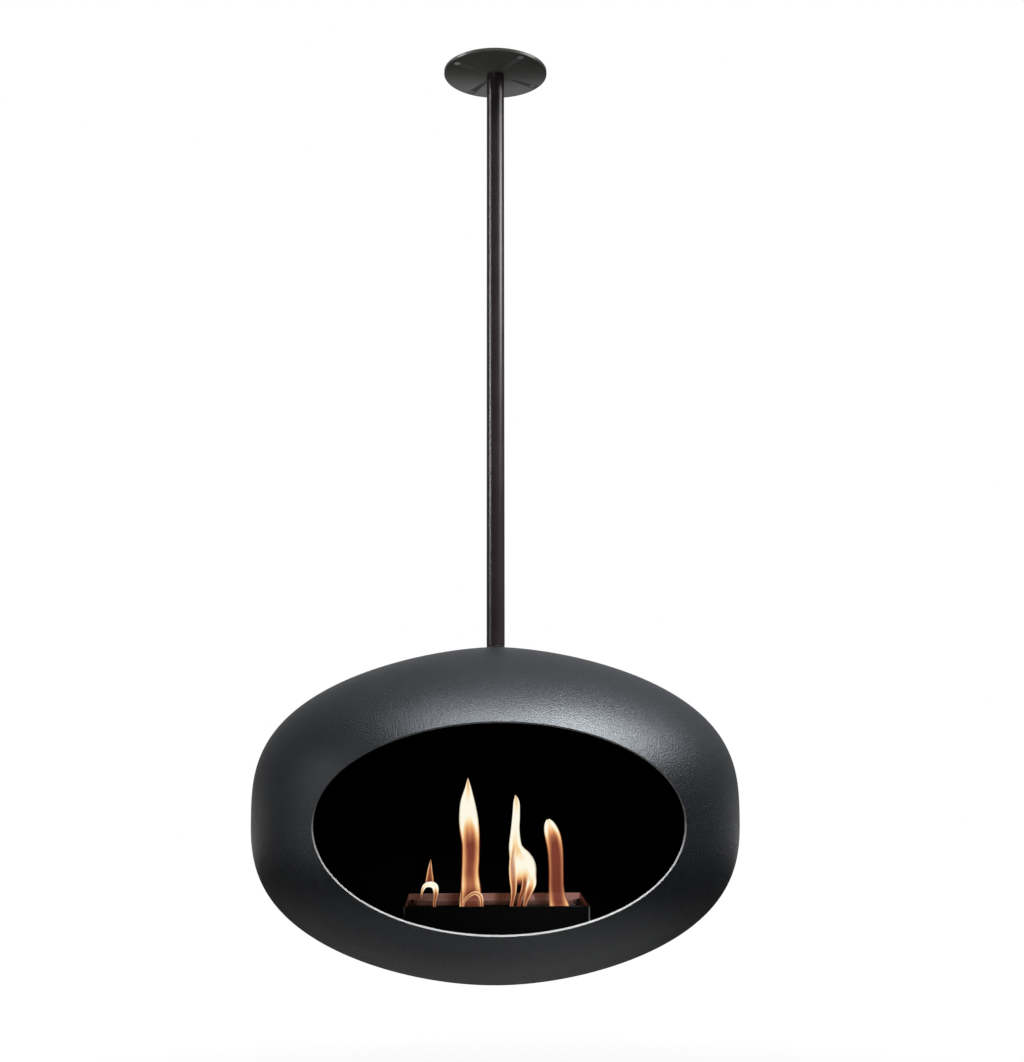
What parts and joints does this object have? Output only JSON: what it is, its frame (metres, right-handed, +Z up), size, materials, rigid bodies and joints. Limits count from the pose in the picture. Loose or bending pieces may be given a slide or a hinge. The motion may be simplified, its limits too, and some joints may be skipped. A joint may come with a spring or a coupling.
{
  "type": "hanging fireplace",
  "caption": "Rounded black steel dome with an elliptical mouth, hung on a tube from a round ceiling plate, holding a lift-out liquid-fuel burner with a sliding lid.",
  "frame": {"origin": "centre of the ceiling plate's upper face, which lies against the ceiling", "axes": "+Z up out of the plate into the ceiling, the mouth faces -Y, +X to the right of someone facing the mouth"},
  "size_m": [0.7, 0.6574, 1.3734],
  "materials": {
    "dome_powder_black": "fine-textured matt powder coat",
    "plate_satin_black": "satin black paint",
    "tube_satin_black": "satin black paint",
    "zinc_steel": "bright zinc plate",
    "raw_steel": "bare mill-finish steel",
    "stainless": "brushed stainless steel",
    "bronze": "turned bearing bronze",
    "black_nylon": "black nylon",
    "burner_black": "semi-gloss heat-resistant black paint",
    "wool_white": "white ceramic fibre wool"
  },
  "bodies": {
    "hanger": {"ceiling_plate": "plate_satin_black", "ceiling_spigot": "raw_steel", "hanging_rod": "tube_satin_black", "rod_foot_plug": "raw_steel", "lock_pin": "zinc_steel", "swivel_bolt": "zinc_steel", "thrust_washer": "bronze", "load_washer": "zinc_steel", "ceiling_screw_1": "zinc_steel", "ceiling_screw_2": "zinc_steel", "ceiling_screw_3": "zinc_steel", "ceiling_screw_4": "zinc_steel", "rod_set_screw_1": "zinc_steel", "rod_set_screw_2": "zinc_steel"},
    "dome": {"upper_shell": "dome_powder_black", "lower_shell": "dome_powder_black", "hub_plate": "raw_steel", "hub_bush": "bronze", "crown_washer": "black_nylon", "cradle_rib_front": "raw_steel", "cradle_rib_rear": "raw_steel", "cradle_plate": "raw_steel", "burner_housing": "burner_black", "housing_screw_1": "zinc_steel", "housing_screw_2": "zinc_steel", "housing_screw_3": "zinc_steel", "housing_screw_4": "zinc_steel"},
    "burner": {"fuel_tank": "stainless", "wick_pad": "wool_white", "wick_screen": "stainless", "top_plate": "burner_black", "lid_rail_left": "burner_black", "lid_rail_right": "burner_black", "rail_screw_1": "zinc_steel", "rail_screw_2": "zinc_steel", "rail_screw_3": "zinc_steel", "rail_screw_4": "zinc_steel"},
    "lid": {"slot_lid": "burner_black"}
  },
  "joints": [
    {"name": "dome_swivel", "type": "hinge", "parent": "hanger", "child": "dome", "pos_m": [0, 0, -1.1354], "axis": [0, 0, 1], "continuous": true},
    {"name": "burner_lift", "type": "slide", "parent": "dome", "child": "burner", "axis": [0, 0, 1], "range_m": [0, 0.075]},
    {"name": "lid_slide", "type": "slide", "parent": "burner", "child": "lid", "axis": [0, -1, 0], "range_m": [0, 0.038]}
  ]
}
